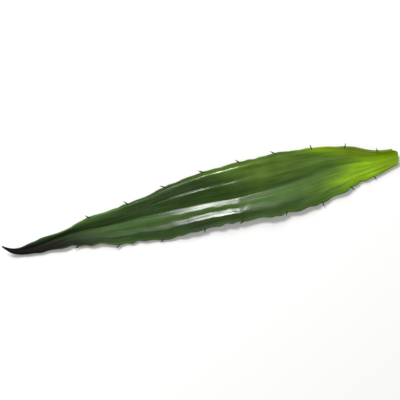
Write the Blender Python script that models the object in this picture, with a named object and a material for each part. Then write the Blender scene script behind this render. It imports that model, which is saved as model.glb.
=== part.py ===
"""One cut aloe leaf, lying on its rounded underside as it was laid down.

The leaf grew as one piece: a long channelled blade, fleshy along its valley and
thin at both wavy margins, with nine small spines along each margin and a tip
that has dried to a dark claw. Metres, +Z up. +X runs along the leaf to the cut
base and +Y to its far margin. The origin is on the surface, in the middle of
the flat spot that the leaf rests on.

A place on the blade is given by its station, in millimetres from the cut, and
its reach, from -1 at the near margin through 0 in the valley to 1 at the far one.
"""

import math
import random

import bmesh
import bpy
import numpy as np
from mathutils import Matrix, Vector

MM = 0.001

LEAF_LENGTH = 608.0
REST_STATION = 258.0

# Each row is a station, then the offset along +Y and the height of the upper side.
VALLEY = (
    (0, 1.5, 4.9),
    (36, 4, 4.9),
    (70, 8, 4.8),
    (103, 9, 4.8),
    (155, 3, 5.0),
    (215, 0, 5.0),
    (252, -0.5, 5.0),
    (313, 5, 5.1),
    (375, 8, 5.0),
    (455, 10, 4.7),
    (520, 12, 4.4),
    (555, 6, 4.0),
    (572, 4.4, 4.3),
    (586, 4, 5.0),
    (599, 7, 8.2),
    (608, 13.9, 12.4),
)
FAR_MARGIN = (
    (0, 9.5, 12.0),
    (19, 11.5, 12.7),
    (34, 16.5, 13.2),
    (60, 32.5, 14.0),
    (81, 41, 15.0),
    (118, 49, 16.3),
    (165, 54.5, 18.0),
    (233, 53.5, 20.4),
    (265, 53, 21.2),
    (298, 49.5, 22.0),
    (330, 46.5, 21.2),
    (364, 39, 20.4),
    (397, 32, 19.2),
    (441, 26.5, 17.0),
    (460, 26, 16.0),
    (491, 22, 13.0),
    (523, 14.5, 10.0),
    (553, 13.5, 8.0),
    (570, 11.5, 6.8),
    (585, 8.7, 6.2),
    (598, 10, 9.0),
    (608, 14.9, 12.6),
)
NEAR_MARGIN = (
    (0, -12.0, 5.4),
    (24, -18.6, 5.0),
    (45, -24.2, 4.9),
    (63, -27.4, 4.8),
    (77, -30.6, 5.0),
    (91, -37.6, 5.0),
    (117, -42.4, 5.2),
    (141, -49.4, 5.6),
    (177, -52.8, 6.6),
    (197, -52.5, 8.2),
    (213, -55, 8.3),
    (238, -49.5, 8.5),
    (268, -47.5, 8.3),
    (300, -44.5, 8.2),
    (359, -42.5, 5.7),
    (388, -39.5, 3.8),
    (409, -33, 3.7),
    (431, -31, 4.5),
    (455, -26.5, 4.7),
    (472, -19.5, 5.0),
    (487, -18, 5.2),
    (501, -12.5, 5.0),
    (529, -9, 4.8),
    (558, -7, 4.6),
    (572, -4.7, 4.5),
    (586, -1.6, 4.2),
    (599, 3.8, 7.4),
    (608, 12.9, 12.2),
)

# Rows of station and thickness of the flesh: in the middle of the blade, and at its margins.
BODY_THICKNESS = (
    (0, 3.7),
    (70, 4.0),
    (155, 5.5),
    (200, 6.2),
    (250, 6.6),
    (300, 6.2),
    (345, 5.3),
    (455, 3.9),
    (555, 3.2),
    (590, 3.3),
    (608, 1.8),
)
MARGIN_THICKNESS = ((0, 3.0), (40, 3.8), (75, 2.2), (120, 1.5), (560, 1.5), (608, 1.2))

# How far the far side curls up to a steep wall at the base: 1 at the cut, 0 where it lies open.
CURL = ((0, 1.0), (36, 0.5), (70, 0.22), (110, 0.05), (145, 0.0), (180, 0.0), (608, 0.0))
# Power of the far side, which is 1 for a straight one: towards the tip the upper side rises
# steeply out of the valley and then lies flatter.
FAR_POWER = ((0, 1.15), (330, 1.15), (400, 0.95), (455, 0.72), (520, 0.75), (608, 1.0))
UNDER_FAR_POWER = ((0, 1.5), (608, 1.5))
# Power of the near side, the curls outward and upward, the shift of the lowest line, and how far
# the middle of the slanting cut stands out past its corners. The underside is lowest to the
# far side of the valley, where most of the weight is.
UPPER_FORM = (FAR_POWER, 1.15, 0.5, 0.8, 0.0, 7.2)
UNDER_FORM = (UNDER_FAR_POWER, 1.9, 2.5, 4.2, 0.13, 4.6)
# The cut bulges more towards the far side, and the bulge fades out over a depth.
CUT_BULGE_SKEW = 0.5
CUT_BULGE_DEPTH = 45.0

# Folds along the blade: rows of share of the way to the margin and height of the fold.
FAR_FOLDS = (
    (0, 0),
    (0.13, 0.8),
    (0.27, 1.7),
    (0.40, 2.4),
    (0.56, -0.1),
    (0.66, 0.6),
    (0.73, 1.6),
    (0.79, 2.75),
    (0.89, 1.0),
    (1.0, 0),
)
NEAR_FOLDS = (
    (0, 0),
    (0.12, 0.75),
    (0.24, 1.5),
    (0.33, 1.15),
    (0.43, 0.85),
    (0.56, 1.75),
    (0.68, 2.6),
    (0.78, 1.6),
    (0.89, 0.4),
    (1.0, 0),
)
FOLD_STRENGTH = (
    (0, 0.0),
    (70, 0.1),
    (150, 0.3),
    (200, 0.5),
    (235, 0.85),
    (260, 1.0),
    (330, 1.0),
    (400, 0.8),
    (450, 0.45),
    (500, 0.2),
    (560, 0.05),
    (608, 0.0),
)
# Each is for the near side, then for the far one: share of the way and pitch along the leaf.
FOLD_WANDER = (0.017, 0.006)
FOLD_WANDER_PITCH = (27.0, 61.0)
# Small waves of the margins, with a phase of their own on each side.
MARGIN_WAVE = 0.9
MARGIN_WAVE_PITCH = 61.0
MARGIN_WAVE_PHASE = 2.4
MARGIN_WAVE_FADE = 70.0
MARGIN_WAVE_POWER = 5
# Scallops of the margins, uneven in spacing and size: on the near side, then on the far one.
MARGIN_SCALLOP = (1.0, 0.5)
MARGIN_SCALLOP_PITCH = 25.0
SCALLOP_DRIFT = 1.3
SCALLOP_DRIFT_PITCH = 71.0
SCALLOP_SWELL = 0.4
SCALLOP_SWELL_PITCH = 113.0
# The dried tip is rounded over by this share of its width, which comes in over a ramp.
TIP_CROWN = 0.12
TIP_CROWN_START = 560.0
TIP_CROWN_RAMP = 30.0

# Stations of the spines, which stand closer together towards the base.
FAR_SPINES = (24, 68, 119, 178, 236, 295, 357, 418, 478)
NEAR_SPINES = (44, 86, 138, 197, 265, 321, 384, 447, 503)
SPINE_LENGTH = 6.2
SPINE_LENGTH_SPREAD = 0.8
# Rows of station and degrees: spines at the base stand square to the margin.
SPINE_LEAN = ((0, 0), (90, 0), (150, 20), (240, 32), (608, 32))
SPINE_LEAN_SPREAD = 10.0
# Spines of the far margin point up a little, those of the near one down.
FAR_SPINE_RISE = 8.0
NEAR_SPINE_RISE = -12.0
SPINE_ROOT_RADIUS = 1.1
SPINE_TIP_RADIUS = 0.28
SPINE_SINK = 3.3
SPINE_SIDES = 5
SPINE_SEED = 251

STATION_STEPS = 118
REACH_STEPS = 20
# 0 would space the stations evenly; this sets them closer at both ends.
END_CROWDING = 0.35
# Steps along and across the blade over which its slope is measured.
STATION_NUDGE = 1.0
REACH_NUDGE = 0.01


def clear_scene():
    for obj in list(bpy.data.objects):
        bpy.data.objects.remove(obj, do_unlink=True)


def follow(rows, at, column=1):
    """Value at each place of a smooth curve that passes through every row."""
    places = np.array([row[0] for row in rows], dtype=float)
    values = np.array([row[column] for row in rows], dtype=float)
    slopes = np.gradient(values, places)
    at = np.clip(at, places[0], places[-1])
    left = np.clip(np.searchsorted(places, at, side="right") - 1, 0, len(rows) - 2)
    span = places[left + 1] - places[left]
    t = (at - places[left]) / span
    from_left = (1 + 2 * t) * (1 - t) ** 2 * values[left]
    from_right = t * t * (3 - 2 * t) * values[left + 1]
    bends = t * (1 - t) ** 2 * slopes[left] - t * t * (1 - t) * slopes[left + 1]
    return from_left + from_right + bends * span


def fade_at_ends(station, length):
    """0 at both ends of the leaf, rising to 1 over a length."""
    from_end = np.minimum(station, LEAF_LENGTH - station)
    return np.clip(from_end / length, 0, 1) ** 2


def folds(station, reach):
    """Height of the long folds, which wander a little on their way along the leaf."""
    share = np.abs(reach)
    pitch = np.where(reach > 0, FOLD_WANDER_PITCH[1], FOLD_WANDER_PITCH[0])
    wander = np.where(reach > 0, FOLD_WANDER[1], FOLD_WANDER[0])
    swing = np.sin(2 * math.pi * station / pitch)
    share = share + wander * swing * np.sin(math.pi * share)
    height = np.where(reach > 0, follow(FAR_FOLDS, share), follow(NEAR_FOLDS, share))
    return height * follow(FOLD_STRENGTH, station)


def tip_crown(station, reach):
    """Height by which the dried tip is rounded over, where the blade is a narrow horn."""
    width = follow(FAR_MARGIN, station) - follow(NEAR_MARGIN, station)
    share = np.clip((station - TIP_CROWN_START) / TIP_CROWN_RAMP, 0, 1)
    return TIP_CROWN * width * (1 - reach ** 2) * share


def channel(station, reach, far_power, near_power, curl_out, curl_up, keel_shift, cut_bulge):
    """Points of a smooth channel between the two margins, in millimetres.

    The powers say how round its two sides are, from 1 for straight ones, and the
    curls how much squarer the far one gets where it is a wall.
    """
    share = np.abs(reach)
    curl = np.where(reach > 0, follow(CURL, station), 0)
    margin_y = np.where(reach > 0, follow(FAR_MARGIN, station), follow(NEAR_MARGIN, station))
    valley_y = follow(VALLEY, station)
    y = valley_y + (margin_y - valley_y) * (1 - (1 - share) ** (1 + curl_out * curl))
    from_keel = reach - keel_shift * (1 - reach ** 2)
    far_rise = np.maximum(from_keel, 0) ** (follow(far_power, station) + curl_up * curl)
    near_rise = np.maximum(-from_keel, 0) ** near_power
    valley_z = follow(VALLEY, station, 2)
    z = valley_z + (follow(FAR_MARGIN, station, 2) - valley_z) * far_rise
    z = z + (follow(NEAR_MARGIN, station, 2) - valley_z) * near_rise
    phase = MARGIN_WAVE_PHASE * np.sign(reach)
    at_margin = share ** MARGIN_WAVE_POWER * fade_at_ends(station, MARGIN_WAVE_FADE)
    wave = np.sin(2 * math.pi * station / MARGIN_WAVE_PITCH + phase)
    z = z + MARGIN_WAVE * wave * at_margin
    drift = SCALLOP_DRIFT * np.sin(2 * math.pi * station / SCALLOP_DRIFT_PITCH)
    scallop = np.sin(2 * math.pi * station / MARGIN_SCALLOP_PITCH + phase + drift)
    swell = 1 + SCALLOP_SWELL * np.sin(2 * math.pi * station / SCALLOP_SWELL_PITCH + phase)
    size = np.where(reach > 0, MARGIN_SCALLOP[1], MARGIN_SCALLOP[0])
    y = y + size * swell * scallop * at_margin
    bulge = cut_bulge * (1 - reach ** 4) * (1 + CUT_BULGE_SKEW * reach)
    bulge = bulge * np.clip(1 - station / CUT_BULGE_DEPTH, 0, 1) ** 2
    x = REST_STATION - station + bulge
    return np.stack([x, y, z], axis=-1)


def upper_side(station, reach):
    points = channel(station, reach, *UPPER_FORM)
    points[..., 2] += folds(station, reach) + tip_crown(station, reach)
    return points


def underside(station, reach):
    """A rounder channel, lower by the flesh and pressed flat where it meets the surface."""
    towards_cut = channel(station - STATION_NUDGE, reach, *UNDER_FORM)
    towards_cut -= channel(station + STATION_NUDGE, reach, *UNDER_FORM)
    towards_far = channel(station, np.minimum(reach + REACH_NUDGE, 1), *UNDER_FORM)
    towards_far -= channel(station, np.maximum(reach - REACH_NUDGE, -1), *UNDER_FORM)
    up = np.cross(towards_cut, towards_far)
    up = up / np.linalg.norm(up, axis=-1, keepdims=True)
    margin = follow(MARGIN_THICKNESS, station)
    thickness = margin + (follow(BODY_THICKNESS, station) - margin) * (1 - reach ** 2)
    points = channel(station, reach, *UNDER_FORM) - up * thickness[..., None]
    points[..., 2] = np.maximum(points[..., 2], 0)
    return points


def make_blade(material):
    """A flat grid, given its thickness while still flat, then laid out as the leaf."""
    bm = bmesh.new()
    bmesh.ops.create_grid(bm, x_segments=STATION_STEPS, y_segments=REACH_STEPS, size=1)
    bmesh.ops.triangulate(bm, faces=bm.faces[:])
    extruded = bmesh.ops.extrude_face_region(bm, geom=bm.faces[:])
    for item in extruded["geom"]:
        if isinstance(item, bmesh.types.BMVert):
            item.co.z = 1
    verts = bm.verts[:]
    flat = np.array([vert.co for vert in verts])
    along = (1 - flat[:, 0]) / 2
    station = LEAF_LENGTH * (along - END_CROWDING * np.sin(2 * math.pi * along) / (2 * math.pi))
    reach = flat[:, 1]
    on_top = flat[:, 2] > 0.5
    placed = np.where(on_top[:, None], upper_side(station, reach), underside(station, reach))
    for vert, point in zip(verts, placed):
        vert.co = Vector(point) * MM
    bmesh.ops.recalc_face_normals(bm, faces=bm.faces[:])
    mesh = bpy.data.meshes.new("aloe_leaf")
    bm.to_mesh(mesh)
    bm.free()
    mesh.materials.append(material)
    blade = bpy.data.objects.new("aloe_leaf", mesh)
    bpy.context.scene.collection.objects.link(blade)
    return blade


def make_spine(station, side, length, lean):
    """A small cone with its root sunk in the margin, leaning towards the tip of the leaf."""
    place = np.array([float(station)])
    edge = np.array([float(side)])
    top = Vector(upper_side(place, edge)[0])
    root = (top + Vector(underside(place, edge)[0])) / 2
    to_tip = Vector(upper_side(place + STATION_NUDGE, edge)[0])
    to_tip -= Vector(upper_side(place - STATION_NUDGE, edge)[0])
    to_tip.normalize()
    outward = Vector((0, side, 0))
    outward = (outward - to_tip * outward.dot(to_tip)).normalized()
    direction = outward * math.cos(lean) + to_tip * math.sin(lean)
    rise = math.radians(FAR_SPINE_RISE if side > 0 else NEAR_SPINE_RISE)
    direction = (direction + Vector((0, 0, math.tan(rise)))).normalized()
    bm = bmesh.new()
    bmesh.ops.create_cone(
        bm,
        cap_ends=True,
        cap_tris=True,
        segments=SPINE_SIDES,
        radius1=SPINE_ROOT_RADIUS * MM,
        radius2=SPINE_TIP_RADIUS * MM,
        depth=(length + SPINE_SINK) * MM,
    )
    centre = root + direction * (length - SPINE_SINK) / 2
    turn = direction.to_track_quat("Z", "Y").to_matrix().to_4x4()
    bm.transform(Matrix.Translation(centre * MM) @ turn)
    mesh = bpy.data.meshes.new("spine")
    bm.to_mesh(mesh)
    bm.free()
    return bpy.data.objects.new("spine", mesh)


def join_spines(blade):
    """One union of the blade with the collection that holds its spines."""
    draw = random.Random(SPINE_SEED)
    spines = bpy.data.collections.new("spines")
    bpy.context.scene.collection.children.link(spines)
    for side, stations in ((1, FAR_SPINES), (-1, NEAR_SPINES)):
        for station in stations:
            length = SPINE_LENGTH + draw.uniform(-SPINE_LENGTH_SPREAD, SPINE_LENGTH_SPREAD)
            lean = follow(SPINE_LEAN, station) + draw.uniform(-SPINE_LEAN_SPREAD, SPINE_LEAN_SPREAD)
            spines.objects.link(make_spine(station, side, length, math.radians(lean)))
    union = blade.modifiers.new("spines", "BOOLEAN")
    union.operation = "UNION"
    union.operand_type = "COLLECTION"
    union.collection = spines
    union.solver = "EXACT"
    with bpy.context.temp_override(object=blade, active_object=blade):
        bpy.ops.object.modifier_apply(modifier=union.name)
    for spine in list(spines.objects):
        bpy.data.objects.remove(spine, do_unlink=True)
    bpy.data.collections.remove(spines)


def leaf_skin():
    """Waxy green cuticle."""
    material = bpy.data.materials.new("leaf_skin")
    material.use_nodes = True
    shader = material.node_tree.nodes["Principled BSDF"]
    shader.inputs["Base Color"].default_value = (0.048, 0.112, 0.018, 1)
    shader.inputs["Roughness"].default_value = 0.28
    shader.inputs["Metallic"].default_value = 0
    return material


clear_scene()
leaf = make_blade(leaf_skin())
join_spines(leaf)
leaf.data.shade_smooth()
leaf.data.set_sharp_from_angle(angle=math.radians(35))
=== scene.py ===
"""Finish of the aloe leaf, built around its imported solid.

Metres, +Z up; the leaf lies along X with its cut base at +X, its far margin at +Y
and its flat spot on the floor at the origin. A place on the leaf is given by its
station, in millimetres from the cut, and its reach, from -1 at the near margin
through 0 in the valley to 1 at the far margin.
"""

import math
import random

import bmesh
import bpy
import numpy as np
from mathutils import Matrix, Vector


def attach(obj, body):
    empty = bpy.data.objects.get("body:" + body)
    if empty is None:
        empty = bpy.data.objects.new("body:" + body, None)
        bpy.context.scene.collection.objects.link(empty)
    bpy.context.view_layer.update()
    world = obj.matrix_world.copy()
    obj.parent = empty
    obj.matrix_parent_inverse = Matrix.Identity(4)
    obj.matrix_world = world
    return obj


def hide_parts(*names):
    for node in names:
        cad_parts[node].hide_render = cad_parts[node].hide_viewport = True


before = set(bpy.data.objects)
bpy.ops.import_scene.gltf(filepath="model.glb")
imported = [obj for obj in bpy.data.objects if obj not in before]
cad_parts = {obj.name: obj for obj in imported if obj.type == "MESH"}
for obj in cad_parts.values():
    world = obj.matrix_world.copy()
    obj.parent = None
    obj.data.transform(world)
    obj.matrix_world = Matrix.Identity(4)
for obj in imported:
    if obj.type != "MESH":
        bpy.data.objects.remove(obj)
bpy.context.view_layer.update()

# The blade: one thick channelled leaf, fleshy in the middle and thin at its wavy margins.
# It is drawn over a fine grid, with the same rows of measures as its solid, and has a rind
# all over and a bare cut face at its base.
MM = 0.001
LEAF_LENGTH = 608.0
REST_STATION = 258.0

# Each row is a station, then the offset along +Y and the height of the upper side.
VALLEY = (
    (0, 1.5, 4.9),
    (36, 4, 4.9),
    (70, 8, 4.8),
    (103, 9, 4.8),
    (155, 3, 5.0),
    (215, 0, 5.0),
    (252, -0.5, 5.0),
    (313, 5, 5.1),
    (375, 8, 5.0),
    (455, 10, 4.7),
    (520, 12, 4.4),
    (555, 6, 4.0),
    (572, 4.4, 4.3),
    (586, 4, 5.0),
    (599, 7, 8.2),
    (608, 13.9, 12.4),
)
FAR_MARGIN = (
    (0, 9.5, 12.0),
    (19, 11.5, 12.7),
    (34, 16.5, 13.2),
    (60, 32.5, 14.0),
    (81, 41, 15.0),
    (118, 49, 16.3),
    (165, 54.5, 18.0),
    (233, 53.5, 20.4),
    (265, 53, 21.2),
    (298, 49.5, 22.0),
    (330, 46.5, 21.2),
    (364, 39, 20.4),
    (397, 32, 19.2),
    (441, 26.5, 17.0),
    (460, 26, 16.0),
    (491, 22, 13.0),
    (523, 14.5, 10.0),
    (553, 13.5, 8.0),
    (570, 11.5, 6.8),
    (585, 8.7, 6.2),
    (598, 10, 9.0),
    (608, 14.9, 12.6),
)
NEAR_MARGIN = (
    (0, -12.0, 5.4),
    (24, -18.6, 5.0),
    (45, -24.2, 4.9),
    (63, -27.4, 4.8),
    (77, -30.6, 5.0),
    (91, -37.6, 5.0),
    (117, -42.4, 5.2),
    (141, -49.4, 5.6),
    (177, -52.8, 6.6),
    (197, -52.5, 8.2),
    (213, -55, 8.3),
    (238, -49.5, 8.5),
    (268, -47.5, 8.3),
    (300, -44.5, 8.2),
    (359, -42.5, 5.7),
    (388, -39.5, 3.8),
    (409, -33, 3.7),
    (431, -31, 4.5),
    (455, -26.5, 4.7),
    (472, -19.5, 5.0),
    (487, -18, 5.2),
    (501, -12.5, 5.0),
    (529, -9, 4.8),
    (558, -7, 4.6),
    (572, -4.7, 4.5),
    (586, -1.6, 4.2),
    (599, 3.8, 7.4),
    (608, 12.9, 12.2),
)

# Rows of station and thickness of the flesh: in the middle of the blade, and at its margins.
BODY_THICKNESS = (
    (0, 3.7),
    (70, 4.0),
    (155, 5.5),
    (200, 6.2),
    (250, 6.6),
    (300, 6.2),
    (345, 5.3),
    (455, 3.9),
    (555, 3.2),
    (590, 3.3),
    (608, 1.8),
)
MARGIN_THICKNESS = ((0, 3.0), (40, 3.8), (75, 2.2), (120, 1.5), (560, 1.5), (608, 1.2))

# How far the far side curls up to a steep wall at the base: 1 at the cut, 0 where it lies open.
CURL = ((0, 1.0), (36, 0.5), (70, 0.22), (110, 0.05), (145, 0.0), (180, 0.0), (608, 0.0))
# Power of the far side, which is 1 for a straight one: towards the tip the upper side rises
# steeply out of the valley and then lies flatter.
FAR_POWER = ((0, 1.15), (330, 1.15), (400, 0.95), (455, 0.72), (520, 0.75), (608, 1.0))
UNDER_FAR_POWER = ((0, 1.5), (608, 1.5))
# Power of the near side, the curls outward and upward, the shift of the lowest line, and how far
# the middle of the slanting cut stands out past its corners. The underside is lowest to the
# far side of the valley, where most of the weight is.
UPPER_FORM = (FAR_POWER, 1.15, 0.5, 0.8, 0.0, 7.2)
UNDER_FORM = (UNDER_FAR_POWER, 1.9, 2.5, 4.2, 0.13, 4.6)
# The cut bulges more towards the far side, and the bulge fades out over a depth.
CUT_BULGE_SKEW = 0.5
CUT_BULGE_DEPTH = 45.0

# Folds along the blade: rows of share of the way to the margin and height of the fold.
FAR_FOLDS = (
    (0, 0),
    (0.13, 0.8),
    (0.27, 1.7),
    (0.40, 2.4),
    (0.56, -0.1),
    (0.66, 0.6),
    (0.73, 1.6),
    (0.79, 2.75),
    (0.89, 1.0),
    (1.0, 0),
)
NEAR_FOLDS = (
    (0, 0),
    (0.12, 0.75),
    (0.24, 1.5),
    (0.33, 1.15),
    (0.43, 0.85),
    (0.56, 1.75),
    (0.68, 2.6),
    (0.78, 1.6),
    (0.89, 0.4),
    (1.0, 0),
)
FOLD_STRENGTH = (
    (0, 0.0),
    (70, 0.1),
    (150, 0.3),
    (200, 0.5),
    (235, 0.85),
    (260, 1.0),
    (330, 1.0),
    (400, 0.8),
    (450, 0.45),
    (500, 0.2),
    (560, 0.05),
    (608, 0.0),
)
# Each is for the near side, then for the far one: share of the way and pitch along the leaf.
FOLD_WANDER = (0.017, 0.006)
FOLD_WANDER_PITCH = (27.0, 61.0)
# Small waves of the margins, with a phase of their own on each side.
MARGIN_WAVE = 0.9
MARGIN_WAVE_PITCH = 61.0
MARGIN_WAVE_PHASE = 2.4
MARGIN_WAVE_FADE = 70.0
MARGIN_WAVE_POWER = 5
# Scallops of the margins, uneven in spacing and size: on the near side, then on the far one.
MARGIN_SCALLOP = (1.0, 0.5)
MARGIN_SCALLOP_PITCH = 25.0
SCALLOP_DRIFT = 1.3
SCALLOP_DRIFT_PITCH = 71.0
SCALLOP_SWELL = 0.4
SCALLOP_SWELL_PITCH = 113.0
# The dried tip is rounded over by this share of its width, which comes in over a ramp.
TIP_CROWN = 0.12
TIP_CROWN_START = 560.0
TIP_CROWN_RAMP = 30.0

STATION_STEPS = 520
REACH_STEPS = 80
WALL_CUTS = 4
# 0 would space the stations evenly; this sets them closer at both ends.
END_CROWDING = 0.2
# Steps along and across the blade over which its slope is measured.
STATION_NUDGE = 1.0
REACH_NUDGE = 0.01
# The edge of each margin is round, and the cut face a little hollow between its rinds.
EDGE_ROUNDING = 0.32
CUT_HOLLOW = 0.5
# A place on the grid past the first is at its edge, and a station before the second at the cut.
AT_END = 1 - 1e-6
AT_CUT = 1e-3
# Faces that meet at more than this angle keep a sharp edge between them.
SHARP_ANGLE = math.radians(50)

# Fine relief of the upper side, in millimetres, which dies out at the margins with a power of
# the reach. The ripples along the rims fill a band of the reach and fade out beside it, and
# their spacing drifts. The dents lie where two slanting waves meet. Both fade out at the ends.
RELIEF_POWER = 12
RELIEF_FADE = 60.0
RIM_RIPPLE = 0.1
RIM_RIPPLE_PITCH = 19.0
RIM_BAND = (0.86, 0.93)
RIM_BAND_FADE = 0.1
RIPPLE_DRIFT = 1.7
RIPPLE_DRIFT_PITCH = 83.0
DENTS = 0.03
DENT_PITCHES = (37.0, 53.0)
DENT_SLANTS = (5.0, 9.0)
DENT_PHASE = 1.0
# Creases where the leaf was once bent: station and reach of the middle, half its length and
# half its width in millimetres, how much it turns towards the far margin, and its height.
CREASES = (
    (264, -0.74, 26, 7.0, 0, 0.9),
    (232, -0.04, 20, 2.2, 0.03, 0.3),
    (226, -0.26, 22, 2.0, 0.02, 0.3),
    (238, -0.52, 9, 3.5, -0.5, 0.3),
    (246, -0.44, 7, 3.0, 0.6, 0.25),
)
# Bends across the blade: station, how much later it lies at the near margin, reach of the middle,
# half its width in reach, and the length and depth of the hollow towards the cut.
BENDS = (
    (253, 12, -0.35, 0.75, 24, 0.42),
    (300, 0, 0.45, 0.22, 20, 0.42),
)
# Grooves that steepen the far flanks of two crests: reach of the middle, half its width in reach,
# depth, and the stations between which it is deep.
GROOVES = (
    (0.53, 0.055, 0.6, 300, 395),
    (0.885, 0.045, 0.5, 240, 400),
    (0.885, 0.045, 0.4, 320, 385),
    (0.885, 0.045, 0.35, 225, 262),
)
GROOVE_FADE = 25


def follow(rows, at, column=1):
    """Value at each place of a smooth curve that passes through every row."""
    places = np.array([row[0] for row in rows], dtype=float)
    values = np.array([row[column] for row in rows], dtype=float)
    slopes = np.gradient(values, places)
    at = np.clip(at, places[0], places[-1])
    left = np.clip(np.searchsorted(places, at, side="right") - 1, 0, len(rows) - 2)
    span = places[left + 1] - places[left]
    t = (at - places[left]) / span
    from_left = (1 + 2 * t) * (1 - t) ** 2 * values[left]
    from_right = t * t * (3 - 2 * t) * values[left + 1]
    bends = t * (1 - t) ** 2 * slopes[left] - t * t * (1 - t) * slopes[left + 1]
    return from_left + from_right + bends * span


def fade_at_ends(station, length):
    """0 at both ends of the leaf, rising to 1 over a length."""
    from_end = np.minimum(station, LEAF_LENGTH - station)
    return np.clip(from_end / length, 0, 1) ** 2


def folds(station, reach):
    """Height of the long folds, which wander a little on their way along the leaf."""
    share = np.abs(reach)
    pitch = np.where(reach > 0, FOLD_WANDER_PITCH[1], FOLD_WANDER_PITCH[0])
    wander = np.where(reach > 0, FOLD_WANDER[1], FOLD_WANDER[0])
    swing = np.sin(2 * math.pi * station / pitch)
    share = share + wander * swing * np.sin(math.pi * share)
    height = np.where(reach > 0, follow(FAR_FOLDS, share), follow(NEAR_FOLDS, share))
    return height * follow(FOLD_STRENGTH, station)


def tip_crown(station, reach):
    """Height by which the dried tip is rounded over, where the blade is a narrow horn."""
    width = follow(FAR_MARGIN, station) - follow(NEAR_MARGIN, station)
    share = np.clip((station - TIP_CROWN_START) / TIP_CROWN_RAMP, 0, 1)
    return TIP_CROWN * width * (1 - reach ** 2) * share


def channel(station, reach, far_power, near_power, curl_out, curl_up, keel_shift, cut_bulge):
    """Points of a smooth channel between the two margins, in millimetres.

    The powers say how round its two sides are, from 1 for straight ones, and the
    curls how much squarer the far one gets where it is a wall.
    """
    share = np.abs(reach)
    curl = np.where(reach > 0, follow(CURL, station), 0)
    margin_y = np.where(reach > 0, follow(FAR_MARGIN, station), follow(NEAR_MARGIN, station))
    valley_y = follow(VALLEY, station)
    y = valley_y + (margin_y - valley_y) * (1 - (1 - share) ** (1 + curl_out * curl))
    from_keel = reach - keel_shift * (1 - reach ** 2)
    far_rise = np.maximum(from_keel, 0) ** (follow(far_power, station) + curl_up * curl)
    near_rise = np.maximum(-from_keel, 0) ** near_power
    valley_z = follow(VALLEY, station, 2)
    z = valley_z + (follow(FAR_MARGIN, station, 2) - valley_z) * far_rise
    z = z + (follow(NEAR_MARGIN, station, 2) - valley_z) * near_rise
    phase = MARGIN_WAVE_PHASE * np.sign(reach)
    at_margin = share ** MARGIN_WAVE_POWER * fade_at_ends(station, MARGIN_WAVE_FADE)
    wave = np.sin(2 * math.pi * station / MARGIN_WAVE_PITCH + phase)
    z = z + MARGIN_WAVE * wave * at_margin
    drift = SCALLOP_DRIFT * np.sin(2 * math.pi * station / SCALLOP_DRIFT_PITCH)
    scallop = np.sin(2 * math.pi * station / MARGIN_SCALLOP_PITCH + phase + drift)
    swell = 1 + SCALLOP_SWELL * np.sin(2 * math.pi * station / SCALLOP_SWELL_PITCH + phase)
    size = np.where(reach > 0, MARGIN_SCALLOP[1], MARGIN_SCALLOP[0])
    y = y + size * swell * scallop * at_margin
    bulge = cut_bulge * (1 - reach ** 4) * (1 + CUT_BULGE_SKEW * reach)
    bulge = bulge * np.clip(1 - station / CUT_BULGE_DEPTH, 0, 1) ** 2
    x = REST_STATION - station + bulge
    return np.stack([x, y, z], axis=-1)


def upper_side(station, reach):
    points = channel(station, reach, *UPPER_FORM)
    points[..., 2] += folds(station, reach) + tip_crown(station, reach)
    return points


def underside(station, reach):
    """A rounder channel, lower by the flesh and pressed flat where it meets the surface."""
    towards_cut = channel(station - STATION_NUDGE, reach, *UNDER_FORM)
    towards_cut -= channel(station + STATION_NUDGE, reach, *UNDER_FORM)
    towards_far = channel(station, np.minimum(reach + REACH_NUDGE, 1), *UNDER_FORM)
    towards_far -= channel(station, np.maximum(reach - REACH_NUDGE, -1), *UNDER_FORM)
    up = np.cross(towards_cut, towards_far)
    up = up / np.linalg.norm(up, axis=-1, keepdims=True)
    margin = follow(MARGIN_THICKNESS, station)
    thickness = margin + (follow(BODY_THICKNESS, station) - margin) * (1 - reach ** 2)
    points = channel(station, reach, *UNDER_FORM) - up * thickness[..., None]
    points[..., 2] = np.maximum(points[..., 2], 0)
    return points


def between(value, low, high, fade):
    """1 between two limits, fading smoothly to 0 outside them."""
    rise = np.clip((value - low) / fade + 1, 0, 1)
    fall = np.clip((high - value) / fade + 1, 0, 1)
    share = rise * fall
    return share * share * (3 - 2 * share)


def fine_relief(station, reach):
    """Height of the ripples along the rims, the dents, and the creases, bends and grooves."""
    turn = 2 * math.pi
    rim = between(np.abs(reach), *RIM_BAND, RIM_BAND_FADE)
    drift = RIPPLE_DRIFT * np.sin(turn * station / RIPPLE_DRIFT_PITCH)
    ripple = np.sin(turn * station / RIM_RIPPLE_PITCH + drift)
    dent = np.sin(turn * station / DENT_PITCHES[0] + DENT_SLANTS[0] * reach)
    dent = dent * np.sin(turn * station / DENT_PITCHES[1] + DENT_SLANTS[1] * reach + DENT_PHASE)
    away = fade_at_ends(station, RELIEF_FADE)
    height = RIM_RIPPLE * ripple * rim * away + DENTS * dent * away
    width = follow(FAR_MARGIN, station) - follow(NEAR_MARGIN, station)
    for middle, side, half_length, half_width, slant, rise in CREASES:
        along = station - middle
        aside = (reach - side) * width / 2 + slant * along
        height = height + rise * np.exp(-(along / half_length) ** 2 - (aside / half_width) ** 2)
    for start, slant, side, half_width, length, depth in BENDS:
        past = np.clip(start - slant * np.minimum(reach, 0) - station, 0, None) / length
        across = np.clip(1 - ((reach - side) / half_width) ** 2, 0, 1)
        height = height - depth * past * np.exp(1 - past) * across
    for side, half_width, depth, start, end in GROOVES:
        along = between(station, start, end, GROOVE_FADE)
        height = height - depth * along * np.exp(-((reach - side) / half_width) ** 2)
    return height


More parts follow.
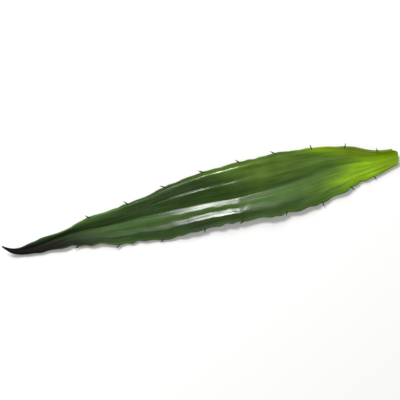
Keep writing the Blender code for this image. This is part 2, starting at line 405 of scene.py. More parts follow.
def skin_point(station, reach, depth):
    """Points at a depth from 0 on the upper side to 1 on the underside, in millimetres."""
    top = upper_side(station, reach)
    top[..., 2] += fine_relief(station, reach) * (1 - np.abs(reach) ** RELIEF_POWER)
    under = underside(station, reach)
    wall = np.linalg.norm(top - under, axis=-1) * np.sin(math.pi * depth)
    points = top + (under - top) * depth[..., None]
    at_margin = np.abs(reach) > AT_END
    at_cut = (station < AT_CUT) & ~at_margin
    points[..., 1] += np.where(at_margin, np.sign(reach) * EDGE_ROUNDING * wall, 0)
    points[..., 0] -= np.where(at_cut, CUT_HOLLOW * np.sin(math.pi * depth), 0)
    return points


# The grid is a flat slab first. Its x runs from -1 at the tip to 1 at the cut, its y is the reach,
# and its z goes from 0 on the underside to 1 on the upper side. The wall at the cut has no rind.
bm = bmesh.new()
bmesh.ops.create_grid(bm, x_segments=STATION_STEPS, y_segments=REACH_STEPS, size=1)
extruded = bmesh.ops.extrude_face_region(bm, geom=bm.faces[:])
for item in extruded["geom"]:
    if isinstance(item, bmesh.types.BMVert):
        item.co.z = 1
walls = [edge for edge in bm.edges if abs(edge.verts[0].co.z - edge.verts[1].co.z) > 0.5]
bmesh.ops.subdivide_edges(bm, edges=walls, cuts=WALL_CUTS, use_grid_fill=True)
for face in bm.faces:
    face.material_index = 1 if min(vert.co.x for vert in face.verts) > AT_END else 0
flat = np.array([vert.co for vert in bm.verts])
along = (1 - flat[:, 0]) / 2
station = LEAF_LENGTH * (along - END_CROWDING * np.sin(2 * math.pi * along) / (2 * math.pi))
reach = flat[:, 1]
depth = 1 - flat[:, 2]
placed = skin_point(station, reach, depth)
for vert, point in zip(bm.verts, placed):
    vert.co = Vector(point) * MM
bmesh.ops.recalc_face_normals(bm, faces=bm.faces[:])
mesh = bpy.data.meshes.new("leaf_blade")
bm.to_mesh(mesh)
bm.free()
# The rind reads its place on the leaf from these, so its fibres and colours follow the blade.
for name, values in (("station", station), ("reach", reach), ("depth", depth)):
    attribute = mesh.attributes.new(name, "FLOAT", "POINT")
    attribute.data.foreach_set("value", values.astype(np.float32))
mesh.shade_smooth()
mesh.set_sharp_from_angle(angle=SHARP_ANGLE)
blade = bpy.data.objects.new("leaf_blade", mesh)
bpy.context.scene.collection.objects.link(blade)


# The rind: fresh aloe epidermis under a thin layer of wax. It is lime where the base was shaded
# by its sheath, deep green along the blade, and dull and black where the tip has dried.

# Half the width of the blade where it is widest, in millimetres.
HALF_WIDTH = 55.0
# Cells of each pattern to a metre along and across the leaf, and from its upper side to its
# underside. At its widest the fibres lie 2.5 mm apart, the dark ones 3.4 mm, the wax streaks
# 3.8 mm and the broad streaks 7.7 mm, and they all close up with it towards both ends. A shift
# keeps the wax streaks apart from the fibres.
FIBRE_CELLS = (9, 400, 3)
DARK_FIBRE_CELLS = (12, 290, 3)
WAX_STREAK_CELLS = (16, 260, 3)
WAX_STREAK_SHIFT = (0, 0, 3.3)
BROAD_STREAK_CELLS = (14, 130, 3)
# Cells to a metre of the clouds of green, 25 mm from one to the next, and of the crinkles, 5 mm.
CLOUD_CELLS = 40.0
CRINKLE_CELLS = 210.0
# Cells to a millimetre of the dashes of shine along the far rim, 13 mm from one to the next.
DASH_CELLS = 0.075
# How much lighter and darker the fibres, the broad streaks and the clouds make the green.
FIBRE_CONTRAST = 0.14
STREAK_CONTRAST = 0.24
CLOUD_CONTRAST = 0.12
# In millimetres along the leaf: how far the change of green wanders from streak to streak, how
# far from one margin to the other, and how much sooner the tip dries along the near margin.
STREAK_DRIFT = 130.0
LIME_DRIFT = 120.0
TIP_SLANT = 45.0
# The painted light and shade towards the tip is given at half its brightness, and this doubles it.
TONE_GAIN = 2.0
# How much nearer the cut the gloss lies along the far rim, in millimetres.
RIM_LEAD = 35.0
# The line across the near half where the wax ends: its station in the valley, how much later it
# lies at the near margin, over what length the wax fades out towards the cut, and which share
# of it is gone there.
WAX_END = 257.0
WAX_END_SLANT = 12.0
WAX_END_FADE = 4.5
WAX_END_LOSS = 0.92
# The crinkled patch past that line: the station and offset of its middle, the radii between
# which it fades out, in millimetres, and which share of the wax its crinkles bring back.
PATCH_MIDDLE = (248.0, -31.0, 0.0)
PATCH_RADII = (15.0, 5.0)
PATCH_WAX = 0.75
# What is added to the roughness: on bare rind, on the near rim and on wax, and how much less of
# it the streaks of wax have.
BARE_ROUGHNESS = 0.25
NEAR_RIM_ROUGHNESS = 0.4
WAX_ROUGHNESS = 0.12
STREAK_GLOSS = 0.14
# Height of the fibres' relief, in metres.
FIBRE_RELIEF = 0.00012


def linear(hex_code):
    """Linear colour of an sRGB hex value."""
    parts = [int(hex_code[at:at + 2], 16) / 255 for at in (1, 3, 5)]
    parts = [part / 12.92 if part <= 0.04045 else ((part + 0.055) / 1.055) ** 2.4 for part in parts]
    return parts + [1]


def add(tree, kind, inputs, stops=(), **settings):
    """One node with its settings. An input takes a value or another node's output."""
    node = tree.nodes.new("ShaderNode" + kind)
    for name, value in settings.items():
        setattr(node, name, value)
    for name, value in inputs.items():
        if isinstance(value, bpy.types.NodeSocket):
            tree.links.new(value, node.inputs[name])
        else:
            node.inputs[name].default_value = value
    for at, (place, hex_code) in enumerate(stops):
        elements = node.color_ramp.elements
        stop = elements[at] if at < 2 else elements.new(place)
        stop.position = place
        stop.color = linear(hex_code)
    return node


rind = bpy.data.materials.new("waxy_aloe_rind")
rind.use_nodes = True
tree = rind.node_tree
tree.nodes.clear()
out = add(tree, "OutputMaterial", {})
skin = add(tree, "BsdfPrincipled", {"IOR": 1.45, "Metallic": 0.0})
tree.links.new(skin.outputs["BSDF"], out.inputs["Surface"])
s = add(tree, "Attribute", {}, attribute_name="station").outputs["Fac"]
r = add(tree, "Attribute", {}, attribute_name="reach").outputs["Fac"]
d = add(tree, "Attribute", {}, attribute_name="depth").outputs["Fac"]
place = add(tree, "TexCoord", {}).outputs["Object"]
# Shares from 0 to 1: of the way to the tip, and across from the near margin to the far one.
length_share = add(tree, "MapRange", {"Value": s, "From Max": LEAF_LENGTH}).outputs[0]
width_share = add(tree, "MapRange", {"Value": r, "From Min": -1.0, "From Max": 1.0}).outputs[0]

# Fibres and streaks follow the leaf as it grew, and clouds lie over it.
along = add(tree, "Math", {0: s, 1: MM}, operation="MULTIPLY").outputs[0]
across = add(tree, "Math", {0: r, 1: HALF_WIDTH * MM}, operation="MULTIPLY").outputs[0]
grown = add(tree, "CombineXYZ", {"X": along, "Y": across, "Z": d}).outputs[0]
fibre = add(tree, "Mapping", {"Vector": grown, "Scale": FIBRE_CELLS}).outputs[0]
fibre = add(tree, "TexNoise", {"Vector": fibre, "Scale": 1.0, "Detail": 3.0}).outputs["Fac"]
streak = add(tree, "Mapping", {"Vector": grown, "Scale": BROAD_STREAK_CELLS}).outputs[0]
streak = add(tree, "TexNoise", {"Vector": streak, "Scale": 1.0, "Detail": 2.0}).outputs["Fac"]
cloud = add(tree, "TexNoise", {"Vector": place, "Scale": CLOUD_CELLS, "Detail": 2.0}).outputs["Fac"]

# Parts of the leaf: shares that rise from 0 to 1 as a measure goes from one limit to the other.
part = {}
for name, measure, start, end in (
    ("base_half", s, 420.0, 300.0),
    ("near_cut", s, 105.0, 60.0),
    ("behind_cut", s, 12.0, 45.0),
    ("past_trough", s, 90.0, 190.0),
    ("tip_end", s, 400.0, 455.0),
    ("far_wall", r, 0.1, 0.65),
    ("far_half", r, 0.04, 0.45),
):
    part[name] = add(
        tree, "MapRange", {"Value": measure, "From Min": start, "From Max": end},
        interpolation_type="SMOOTHSTEP",
    ).outputs[0]

# The green changes along the leaf, on some streaks sooner than on others. Lime reaches furthest
# along the far margin, and least along the far side of the valley.
drift = add(
    tree, "Math", {0: streak, 1: STREAK_DRIFT, 2: -STREAK_DRIFT / 2}, operation="MULTIPLY_ADD"
).outputs[0]
moved = add(tree, "Math", {0: s, 1: drift}, operation="ADD").outputs[0]
later = add(
    tree, "ValToRGB", {"Fac": width_share},
    stops=(
        (0.0, "#e0e0e0"), (0.15, "#acacac"), (0.25, "#a0a0a0"), (0.42, "#c8c8c8"),
        (0.50, "#c4c4c4"), (0.56, "#eeeeee"), (0.76, "#e0e0e0"), (0.86, "#bcbcbc"),
        (0.93, "#949494"), (0.97, "#707070"),
    ),
).outputs["Color"]
later = add(
    tree, "Math", {0: later, 1: LIME_DRIFT, 2: -LIME_DRIFT / 2}, operation="MULTIPLY_ADD"
).outputs[0]
later = add(tree, "Math", {0: later, 1: part["base_half"]}, operation="MULTIPLY").outputs[0]
# The tip dries further up along the near margin.
tip_slant = add(
    tree, "MapRange", {"Value": s, "From Min": 420.0, "From Max": 495.0, "To Max": -TIP_SLANT}
).outputs[0]
tip_slant = add(tree, "Math", {0: r, 1: tip_slant}, operation="MULTIPLY").outputs[0]
for shift in (tip_slant, later):
    moved = add(tree, "Math", {0: moved, 1: shift}, operation="ADD").outputs[0]
moved_share = add(tree, "MapRange", {"Value": moved, "From Max": LEAF_LENGTH}).outputs[0]
upper = add(
    tree, "ValToRGB", {"Fac": moved_share},
    stops=(
        (0.0, "#6a860e"), (0.11, "#74980f"), (0.155, "#5b7c1a"), (0.2, "#496620"),
        (0.30, "#435f28"), (0.42, "#405929"), (0.55, "#3a5329"), (0.70, "#385327"),
        (0.77, "#3c5628"), (0.83, "#2f4026"), (0.87, "#293522"), (0.90, "#1e2018"),
        (0.94, "#191813"), (1.0, "#181713"),
    ),
).outputs["Color"]
# The underside is paler.
lower = add(
    tree, "ValToRGB", {"Fac": moved_share},
    stops=(
        (0.0, "#76854a"), (0.16, "#76904a"), (0.30, "#6b8a4c"), (0.50, "#5c7c48"),
        (0.78, "#4e6b40"), (0.87, "#3c4434"), (0.92, "#28271f"), (0.96, "#1c1b17"),
    ),
).outputs["Color"]
below = add(tree, "MapRange", {"Value": d, "From Min": 0.3, "From Max": 0.8}).outputs[0]
green = add(tree, "Mix", {0: below, 6: upper, 7: lower}, data_type="RGBA").outputs[2]

# The far side of the trough at the base is painted a dull olive, as painted shade of its steep
# wall.
far_trough = add(
    tree, "Math", {0: part["far_wall"], 1: part["near_cut"]}, operation="MULTIPLY"
).outputs[0]
trough_painted_shade = add(
    tree, "Math", {0: far_trough, 1: part["behind_cut"]}, operation="MULTIPLY"
).outputs[0]
green = add(tree, "Mix", {0: trough_painted_shade, 6: green, 7: linear("#5c721a")}, data_type="RGBA").outputs[2]
# Margins dry to a greyish olive line.
rim = add(tree, "Math", {0: r}, operation="ABSOLUTE").outputs[0]
rim = add(
    tree, "MapRange", {"Value": rim, "From Min": 0.93, "From Max": 1.0},
    interpolation_type="SMOOTHSTEP",
).outputs[0]
dried = add(
    tree, "ValToRGB", {"Fac": length_share},
    stops=(
        (0.0, "#505050"), (0.09, "#505050"), (0.12, "#000000"), (0.24, "#000000"),
        (0.32, "#d8d8d8"), (0.82, "#d8d8d8"), (0.9, "#101010"),
    ),
).outputs["Color"]
rim = add(tree, "Math", {0: rim, 1: dried}, operation="MULTIPLY").outputs[0]
green = add(tree, "Mix", {0: rim, 6: green, 7: linear("#525d38")}, data_type="RGBA").outputs[2]
# Painted light and shade of the folds: the crests are painted paler as if lit, and the flanks
# towards the near margin darker as if in shade.
painted_fold_shading = add(
    tree, "ValToRGB", {"Fac": width_share},
    stops=(
        (0.0, "#e0e0e0"), (0.06, "#c0c0c0"), (0.16, "#b4b4b4"), (0.24, "#dadada"),
        (0.36, "#ffffff"), (0.47, "#e7e7e7"), (0.53, "#c8cabc"), (0.66, "#c2c6b2"),
        (0.76, "#c0c4b0"), (0.85, "#c8cab8"), (0.93, "#ececec"),
    ),
).outputs["Color"]
painted_fold_shading = add(
    tree, "Mix", {0: part["past_trough"], 6: linear("#ffffff"), 7: painted_fold_shading}, data_type="RGBA"
).outputs[2]
green = add(
    tree, "Mix", {0: 1.0, 6: green, 7: painted_fold_shading}, data_type="RGBA", blend_type="MULTIPLY"
).outputs[2]
# The far half of the blade is a lighter, yellower green from its middle towards the base.
lighter = part["far_half"]
for start, end in ((305.0, 225.0), (100.0, 170.0)):
    share = add(
        tree, "MapRange", {"Value": moved, "From Min": start, "From Max": end},
        interpolation_type="SMOOTHSTEP",
    ).outputs[0]
    lighter = add(tree, "Math", {0: lighter, 1: share}, operation="MULTIPLY").outputs[0]
green = add(tree, "Mix", {0: lighter, 6: green, 7: linear("#4e6826")}, data_type="RGBA").outputs[2]
# The furrow between the two near crests is a yellower green on its way to the tip.
furrow = add(
    tree, "ValToRGB", {"Fac": width_share},
    stops=((0.235, "#000000"), (0.28, "#ffffff"), (0.34, "#ffffff"), (0.38, "#000000")),
).outputs["Color"]
stretch = add(
    tree, "ValToRGB", {"Fac": length_share},
    stops=((0.50, "#000000"), (0.56, "#ffffff"), (0.65, "#ffffff"), (0.71, "#000000")),
).outputs["Color"]
furrow = add(tree, "Math", {0: furrow, 1: stretch}, operation="MULTIPLY").outputs[0]
green = add(
    tree, "Mix", {0: furrow, 6: green, 7: linear("#e1e4ac")},
    data_type="RGBA", blend_type="MULTIPLY",
).outputs[2]

# Fibres, streaks and clouds lighten and darken it.
shade = 1.0
for pattern, contrast in (
    (fibre, FIBRE_CONTRAST), (streak, STREAK_CONTRAST), (cloud, CLOUD_CONTRAST)
):
    level = {"From Min": 0.3, "From Max": 0.7, "To Min": 1 - contrast, "To Max": 1 + contrast}
    level = add(tree, "MapRange", {"Value": pattern, **level}).outputs[0]
    shade = add(tree, "Math", {0: shade, 1: level}, operation="MULTIPLY").outputs[0]
# Painted light and shade towards the tip: the far margin is painted lighter as if lit, and the far
# side of the valley darker as if in the shade of its steep wall.
painted_tip_shading = add(
    tree, "ValToRGB", {"Fac": width_share},
    stops=(
        (0.0, "#d4d4d4"), (0.2, "#d0d0d0"), (0.3, "#b8b8b8"), (0.45, "#c0c0c0"),
        (0.56, "#a8a8a8"), (0.72, "#a8a8a8"), (0.86, "#ffffff"), (1.0, "#ffffff"),
    ),
).outputs["Color"]
painted_tip_shading = add(
    tree, "Mix", {0: part["tip_end"], 6: linear("#bcbcbc"), 7: painted_tip_shading}, data_type="RGBA"
).outputs[2]
# Behind the lime base the valley is darker, and fine dark fibres show through.
dark_fibre = add(tree, "Mapping", {"Vector": grown, "Scale": DARK_FIBRE_CELLS}).outputs[0]
dark_fibre = add(
    tree, "TexNoise", {"Vector": dark_fibre, "Scale": 1.0, "Detail": 2.0}
).outputs["Fac"]
dark_fibre = add(
    tree, "MapRange", {"Value": dark_fibre, "From Min": 0.5, "From Max": 0.66, "To Max": 0.3}
).outputs[0]
valley = add(
    tree, "ValToRGB", {"Fac": width_share},
    stops=((0.44, "#000000"), (0.54, "#606060"), (0.66, "#606060"), (0.76, "#000000")),
).outputs["Color"]
behind_base = add(
    tree, "ValToRGB", {"Fac": length_share},
    stops=((0.09, "#000000"), (0.17, "#ffffff"), (0.28, "#ffffff"), (0.34, "#000000")),
).outputs["Color"]
darker = add(tree, "Math", {0: dark_fibre, 1: valley}, operation="ADD").outputs[0]
darker = add(tree, "Math", {0: darker, 1: behind_base}, operation="MULTIPLY").outputs[0]
darker = add(tree, "Math", {0: 1.0, 1: darker}, operation="SUBTRACT").outputs[0]
for share in (painted_tip_shading, darker, TONE_GAIN):
    shade = add(tree, "Math", {0: shade, 1: share}, operation="MULTIPLY").outputs[0]
green = add(tree, "VectorMath", {0: green, "Scale": shade}, operation="SCALE").outputs[0]
tree.links.new(green, skin.inputs["Base Color"])

# The rind is glossy in the middle of the blade, and duller towards the base and the dried tip.
# The gloss lies nearer the cut along the far rim, and the near rim is rough.
far_rim = add(tree, "MapRange", {"Value": r, "From Min": 0.6, "From Max": 0.85}).outputs[0]
worn = add(tree, "Math", {0: far_rim, 1: RIM_LEAD, 2: s}, operation="MULTIPLY_ADD").outputs[0]
worn = add(tree, "MapRange", {"Value": worn, "From Max": LEAF_LENGTH}).outputs[0]
dull = add(
    tree, "ValToRGB", {"Fac": worn},
    stops=(
        (0.0, "#909090"), (0.26, "#949494"), (0.38, "#808080"), (0.45, "#505050"),
        (0.55, "#545454"), (0.63, "#767676"), (0.71, "#808080"), (0.80, "#949494"),
        (0.94, "#c8c8c8"),
    ),
).outputs["Color"]
rough = {"Value": fibre, "From Min": 0.3, "From Max": 0.7, "To Min": -0.03, "To Max": 0.05}
rough = add(tree, "MapRange", rough).outputs[0]
near_rim = {"Value": r, "From Min": -0.82, "From Max": -0.95, "To Max": NEAR_RIM_ROUGHNESS}
near_rim = add(tree, "MapRange", near_rim).outputs[0]
for extra in (dull, near_rim):
    rough = add(tree, "Math", {0: rough, 1: extra}, operation="ADD").outputs[0]

# How much wax is left on it. The dried tip has lost it, and the near edge some of it.
waxed = {"Value": s, "From Min": 390.0, "From Max": 510.0, "To Min": 1.0, "To Max": 0.08}
waxed = add(tree, "MapRange", waxed).outputs[0]
near_edge = {"Value": r, "From Min": -0.6, "From Max": -0.85, "To Min": 1.0, "To Max": 0.45}
near_edge = add(tree, "MapRange", near_edge).outputs[0]
# Where the near half was once bent the wax ends at a slanting line, but for a crinkled patch.
lost = add(tree, "Math", {0: r, 1: WAX_END_SLANT, 2: s}, operation="MULTIPLY_ADD").outputs[0]
lost = {
    "Value": lost, "From Min": WAX_END, "From Max": WAX_END - WAX_END_FADE, "To Max": WAX_END_LOSS,
}
lost = add(tree, "MapRange", lost).outputs[0]
bent_half = add(tree, "MapRange", {"Value": r, "From Min": 0.12, "From Max": -0.1}).outputs[0]
patch = add(tree, "Math", {0: r, 1: HALF_WIDTH}, operation="MULTIPLY").outputs[0]
patch = add(tree, "CombineXYZ", {"X": s, "Y": patch}).outputs[0]
patch = add(tree, "VectorMath", {0: patch, 1: PATCH_MIDDLE}, operation="DISTANCE").outputs["Value"]
patch = {"Value": patch, "From Min": PATCH_RADII[0], "From Max": PATCH_RADII[1]}
patch = add(tree, "MapRange", patch).outputs[0]
crinkle = {"Vector": place, "Scale": CRINKLE_CELLS, "Detail": 1.0}
crinkle = add(tree, "TexNoise", crinkle).outputs["Fac"]
crinkle = {"Value": crinkle, "From Min": 0.47, "From Max": 0.6, "To Max": PATCH_WAX}
crinkle = add(tree, "MapRange", crinkle).outputs[0]
patch = add(tree, "Math", {0: patch, 1: crinkle}, operation="MULTIPLY").outputs[0]
patch = add(tree, "Math", {0: 1.0, 1: patch}, operation="SUBTRACT").outputs[0]
for share in (bent_half, patch):
    lost = add(tree, "Math", {0: lost, 1: share}, operation="MULTIPLY").outputs[0]
unbent = add(tree, "Math", {0: 1.0, 1: lost}, operation="SUBTRACT").outputs[0]
# The far crest shines up to a worn stretch, and once more in the middle of it.
worn_crest = add(
    tree, "ValToRGB", {"Fac": length_share},
    stops=(
        (0.405, "#606060"), (0.42, "#ffffff"), (0.435, "#ffffff"), (0.448, "#606060"),
        (0.47, "#606060"), (0.505, "#ffffff"),
    ),
).outputs["Color"]
far_crest = add(
    tree, "ValToRGB", {"Fac": width_share},
    stops=((0.62, "#000000"), (0.66, "#ffffff"), (0.82, "#ffffff"), (0.86, "#000000")),
).outputs["Color"]
worn_crest = add(
    tree, "Mix", {0: far_crest, 6: linear("#ffffff"), 7: worn_crest}, data_type="RGBA"
).outputs[2]
# The near half loses its shine sooner on its way to the tip.
shine = add(
    tree, "ValToRGB", {"Fac": length_share},
    stops=(
        (0.505, "#ffffff"), (0.54, "#d0d0d0"), (0.575, "#acacac"), (0.63, "#848484"),
        (0.70, "#686868"),
    ),
).outputs["Color"]
near_half = add(tree, "MapRange", {"Value": r, "From Min": 0.12, "From Max": 0.0}).outputs[0]
shine = add(
    tree, "Mix", {0: near_half, 6: linear("#ffffff"), 7: shine}, data_type="RGBA"
).outputs[2]
# Along the far rim the shine breaks up in short dashes.
dashes = add(tree, "CombineXYZ", {"X": s}).outputs[0]
dashes = {"Vector": dashes, "Scale": DASH_CELLS, "Detail": 0.0}
dashes = add(tree, "TexNoise", dashes).outputs["Fac"]
dashes = {"Value": dashes, "From Min": 0.52, "From Max": 0.44, "To Max": 0.7}
dashes = add(tree, "MapRange", dashes).outputs[0]
dashes = add(tree, "Math", {0: dashes, 1: far_rim}, operation="MULTIPLY").outputs[0]
dashes = add(tree, "Math", {0: 1.0, 1: dashes}, operation="SUBTRACT").outputs[0]
# The far side of the trough has a quarter of its wax.
trough = add(tree, "Math", {0: far_trough, 1: -0.75, 2: 1.0}, operation="MULTIPLY_ADD").outputs[0]
for share in (near_edge, unbent, worn_crest, shine, dashes, trough):
    waxed = add(tree, "Math", {0: waxed, 1: share}, operation="MULTIPLY").outputs[0]

# The rind is rougher where its wax has gone, and the wax lies in streaks along the fibres.
bare = add(tree, "Math", {0: 1.0, 1: waxed}, operation="SUBTRACT").outputs[0]
rough = add(
    tree, "Math", {0: bare, 1: BARE_ROUGHNESS, 2: rough}, operation="MULTIPLY_ADD"
).outputs[0]
lines = {"Vector": grown, "Location": WAX_STREAK_SHIFT, "Scale": WAX_STREAK_CELLS}
lines = add(tree, "Mapping", lines).outputs[0]
lines = {"Vector": lines, "Scale": 1.0, "Detail": 4.0, "Roughness": 0.6}
lines = add(tree, "TexNoise", lines).outputs["Fac"]
lines = add(tree, "MapRange", {"Value": lines, "From Min": 0.43, "From Max": 0.6}).outputs[0]
rough = add(
    tree, "Math", {0: lines, 1: -STREAK_GLOSS, 2: rough}, operation="MULTIPLY_ADD"
).outputs[0]
rough = add(tree, "Math", {0: rough, 1: WAX_ROUGHNESS}, operation="ADD").outputs[0]
lines = add(tree, "MapRange", {"Value": lines, "To Min": 0.1, "To Max": 1.0}).outputs[0]
waxed = add(tree, "Math", {0: waxed, 1: lines}, operation="MULTIPLY").outputs[0]
tree.links.new(rough, skin.inputs["Roughness"])
tree.links.new(waxed, skin.inputs["Specular Tint"])
relief = add(tree, "Bump", {"Height": fibre, "Distance": FIBRE_RELIEF, "Strength": 1.0}).outputs[0]
tree.links.new(relief, skin.inputs["Normal"])
mesh.materials.append(rind)


# The cut: clear wet gel between two thin green rinds, as a knife left it. It is a little hollow,
# because the gel draws back, and shines because it is wet.
gel = bpy.data.materials.new("cut_aloe_gel")
gel.use_nodes = True
tree = gel.node_tree
tree.nodes.clear()
out = add(tree, "OutputMaterial", {})
flesh = add(tree, "BsdfPrincipled", {"IOR": 1.36, "Metallic": 0.0, "Roughness": 0.18})
tree.links.new(flesh.outputs["BSDF"], out.inputs["Surface"])
d = add(tree, "Attribute", {}, attribute_name="depth").outputs["Fac"]
layer = add(
    tree, "ValToRGB", {"Fac": d},
    stops=(
        (0.0, "#5f7c20"), (0.14, "#8fa850"), (0.24, "#c6cf9a"), (0.5, "#d2d8b0"),
        (0.76, "#c6cf9a"), (0.86, "#8fa850"), (1.0, "#6b8a3c"),
    ),
).outputs["Color"]
tree.links.new(layer, flesh.inputs["Base Color"])
mesh.materials.append(gel)

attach(blade, "root")
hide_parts("aloe_leaf")


# Spines: short horny teeth on both margins, dried to a brown that is nearly black. Each grew
# out of the margin and leans towards the tip of the leaf.
FAR_SPINES = (24, 68, 119, 178, 236, 295, 357, 418, 478)
NEAR_SPINES = (44, 86, 138, 197, 265, 321, 384, 447, 503)
SPINE_LENGTH = 6.05
SPINE_LENGTH_SPREAD = 0.8
# Rows of station and degrees: spines at the base stand square to the margin.
SPINE_LEAN = ((0, 0), (90, 0), (150, 20), (240, 32), (608, 32))
SPINE_LEAN_SPREAD = 10.0
# Spines of the far margin point up a little, those of the near one down.
FAR_SPINE_RISE = 8.0
NEAR_SPINE_RISE = -12.0
SPINE_ROOT_RADIUS = 1.15
SPINE_TIP_RADIUS = 0.3
SPINE_SINK = 3.3
SPINE_SIDES = 12
SPINE_RINGS = 12
SPINE_HOOK = 0.5
# The power with which a spine tapers to its point, and how much its sunk root narrows.
SPINE_TAPER = 0.9
SPINE_ROOT_TAPER = 0.8
SPINE_SEED = 251
# Cells to a metre of the grain of the horn, 1.7 mm from one to the next.
HORN_CELLS = 600.0

draw = random.Random(SPINE_SEED)
bm = bmesh.new()
for side, stations in ((1, FAR_SPINES), (-1, NEAR_SPINES)):
    for at in stations:
        length = SPINE_LENGTH + draw.uniform(-SPINE_LENGTH_SPREAD, SPINE_LENGTH_SPREAD)
        lean = follow(SPINE_LEAN, at) + draw.uniform(-SPINE_LEAN_SPREAD, SPINE_LEAN_SPREAD)
        lean = math.radians(lean)
        here = np.array([float(at)])
        margin = np.array([float(side)])
        root = Vector((upper_side(here, margin)[0] + underside(here, margin)[0]) / 2)
        ahead = upper_side(here + STATION_NUDGE, margin)[0]
        behind = upper_side(here - STATION_NUDGE, margin)[0]
        to_tip = Vector(ahead - behind).normalized()
        outward = Vector((0, side, 0))
        outward = (outward - to_tip * outward.dot(to_tip)).normalized()
        direction = outward * math.cos(lean) + to_tip * math.sin(lean)
        rise = math.radians(FAR_SPINE_RISE if side > 0 else NEAR_SPINE_RISE)
        direction = (direction + Vector((0, 0, math.tan(rise)))).normalized()
        spine = bmesh.new()
        bmesh.ops.create_cone(
            spine, cap_ends=True, cap_tris=False, segments=SPINE_SIDES, radius1=1, radius2=1,
            depth=1,
        )
        sides = [edge for edge in spine.edges if abs(edge.verts[0].co.z - edge.verts[1].co.z) > 0.5]
        bmesh.ops.subdivide_edges(spine, edges=sides, cuts=SPINE_RINGS, use_grid_fill=True)
        for vert in spine.verts:
            share = vert.co.z + 0.5
            height = share * (length + SPINE_SINK) - SPINE_SINK
            way = min(max(height / length, 0), 1)
            taper = (1 - way) ** SPINE_TAPER
            radius = SPINE_TIP_RADIUS + (SPINE_ROOT_RADIUS - SPINE_TIP_RADIUS) * taper
            if height < 0:
                radius = radius * (1 + SPINE_ROOT_TAPER * height / SPINE_SINK)
            bend = to_tip * SPINE_HOOK * way ** 2
            across = Vector((vert.co.x * radius, vert.co.y * radius, 0))
            across.rotate(direction.to_track_quat("Z", "Y"))
            vert.co = (root + direction * height + bend + across) * MM
        piece = bpy.data.meshes.new("spine")
        spine.to_mesh(piece)
        spine.free()
        bm.from_mesh(piece)
        bpy.data.meshes.remove(piece)
bmesh.ops.recalc_face_normals(bm, faces=bm.faces[:])
mesh = bpy.data.meshes.new("leaf_spines")
bm.to_mesh(mesh)
bm.free()
mesh.shade_smooth()
mesh.set_sharp_from_angle(angle=SHARP_ANGLE)
spines = bpy.data.objects.new("leaf_spines", mesh)
bpy.context.scene.collection.objects.link(spines)

# Dry horn, which is dull and nearly black with a faint brown grain.
horn = bpy.data.materials.new("horny_spine")
horn.use_nodes = True
tree = horn.node_tree
tree.nodes.clear()
out = add(tree, "OutputMaterial", {})
shader = add(tree, "BsdfPrincipled", {"Roughness": 0.5, "Metallic": 0.0, "Specular IOR Level": 0.2})
tree.links.new(shader.outputs["BSDF"], out.inputs["Surface"])
place = add(tree, "TexCoord", {}).outputs["Object"]
grain = add(tree, "TexNoise", {"Vector": place, "Scale": HORN_CELLS}).outputs["Fac"]
brown = add(
    tree, "ValToRGB", {"Fac": grain}, stops=((0.3, "#100c08"), (0.7, "#1e170e"))
).outputs["Color"]
tree.links.new(brown, shader.inputs["Base Color"])
mesh.materials.append(horn)

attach(spines, "root")
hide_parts("aloe_leaf")


# The table top: a white paper sheet that runs out of sight. It is matt, and glows a little so
# that it stays white under the dim room.
FLOOR_SIZE = 12.0
FLOOR_GLOW = 0.12
bm = bmesh.new()
bmesh.ops.create_grid(bm, x_segments=1, y_segments=1, size=FLOOR_SIZE / 2)
mesh = bpy.data.meshes.new("floor")
bm.to_mesh(mesh)
bm.free()
floor = bpy.data.objects.new("floor", mesh)
bpy.context.scene.collection.objects.link(floor)
paper = bpy.data.materials.new("white_paper")
paper.use_nodes = True
shader = paper.node_tree.nodes["Principled BSDF"]
shader.inputs["Base Color"].default_value = linear("#d2d2d2")
shader.inputs["Emission Color"].default_value = linear("#ffffff")
shader.inputs["Emission Strength"].default_value = FLOOR_GLOW
shader.inputs["Roughness"].default_value = 0.9
shader.inputs["Specular IOR Level"].default_value = 0.0
mesh.materials.append(paper)


# Studio light. A tall box low behind the leaf, brighter along its two ends, makes the white
# streaked bands along the folds. A large box high behind on the left lights the leaf, and the
# room is pale but dim overhead.
LIGHT_DISTANCE = 3.6
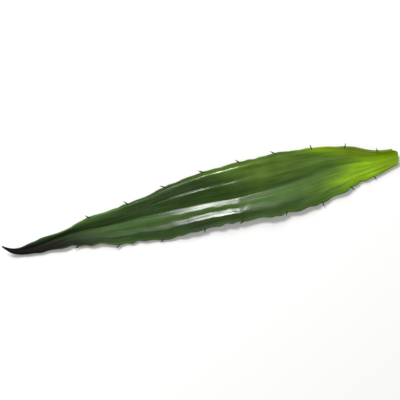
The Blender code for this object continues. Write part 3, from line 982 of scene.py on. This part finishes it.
# Each light has its azimuth from +Y towards +X, its elevation, its width and its height, all in
# degrees as seen from the leaf, and its radiance.
LIGHTS = (
    ("tall_box", 13.1, 27.5, 10.6, 27.0, 16.5),
    ("tall_box_foot", 13.1, 17.0, 10.6, 6.0, 12.0),
    ("tall_box_head", 13.1, 37.5, 10.6, 7.0, 12.0),
    ("large_box", -40.0, 50.0, 36.0, 24.0, 20.0),
)
for name, azimuth, elevation, width, height, radiance in LIGHTS:
    azimuth, elevation = math.radians(azimuth), math.radians(elevation)
    low = math.cos(elevation)
    towards = Vector((math.sin(azimuth) * low, math.cos(azimuth) * low, math.sin(elevation)))
    light = bpy.data.lights.new(name, "AREA")
    light.shape = "RECTANGLE"
    light.size = 2 * LIGHT_DISTANCE * math.tan(math.radians(width / 2)) * low
    light.size_y = 2 * LIGHT_DISTANCE * math.tan(math.radians(height / 2))
    light.energy = radiance * math.pi * light.size * light.size_y
    lamp = bpy.data.objects.new(name, light)
    lamp.location = towards * LIGHT_DISTANCE
    lamp.rotation_euler = towards.to_track_quat("Z", "Y").to_euler()
    bpy.context.scene.collection.objects.link(lamp)

world = bpy.data.worlds.new("pale_room")
world.use_nodes = True
bpy.context.scene.world = world
tree = world.node_tree
tree.nodes.clear()
out = add(tree, "OutputWorld", {})
sky = add(tree, "Background", {"Strength": 1.2})
tree.links.new(sky.outputs[0], out.inputs["Surface"])
direction = add(tree, "TexCoord", {}).outputs["Generated"]
# It dims from the floor in front of the leaf to the ceiling behind it.
dimmer = {0: direction, 1: (0, 0.65, 1)}
dimmer = add(tree, "VectorMath", dimmer, operation="DOT_PRODUCT").outputs["Value"]
room = add(
    tree, "ValToRGB", {"Fac": dimmer},
    stops=(
        (0.0, "#ffffff"), (0.35, "#e0deda"), (0.55, "#a8a6a3"), (0.75, "#5c5b5a"),
        (1.0, "#3e3d3c"),
    ),
).outputs["Color"]
tree.links.new(room, sky.inputs["Color"])


# The camera stands where the photograph was taken from, about 50 degrees up and 18 degrees
# round from the middle of the near margin towards the tip.
CAMERA_AZIMUTH = math.radians(-18.3)
CAMERA_ELEVATION = math.radians(50)
CAMERA_DISTANCE = 1.654
CAMERA_TARGET = Vector((-0.052, 0.014, 0.004))
lens = bpy.data.cameras.new("camera")
lens.lens = 100
lens.sensor_width = 36
camera = bpy.data.objects.new("camera", lens)
back = Vector((
    math.sin(CAMERA_AZIMUTH) * math.cos(CAMERA_ELEVATION),
    -math.cos(CAMERA_AZIMUTH) * math.cos(CAMERA_ELEVATION),
    math.sin(CAMERA_ELEVATION),
))
camera.location = CAMERA_TARGET + back * CAMERA_DISTANCE
camera.rotation_euler = back.to_track_quat("Z", "Y").to_euler()
bpy.context.scene.collection.objects.link(camera)
bpy.context.scene.camera = camera
bpy.context.scene.view_settings.view_transform = "Standard"
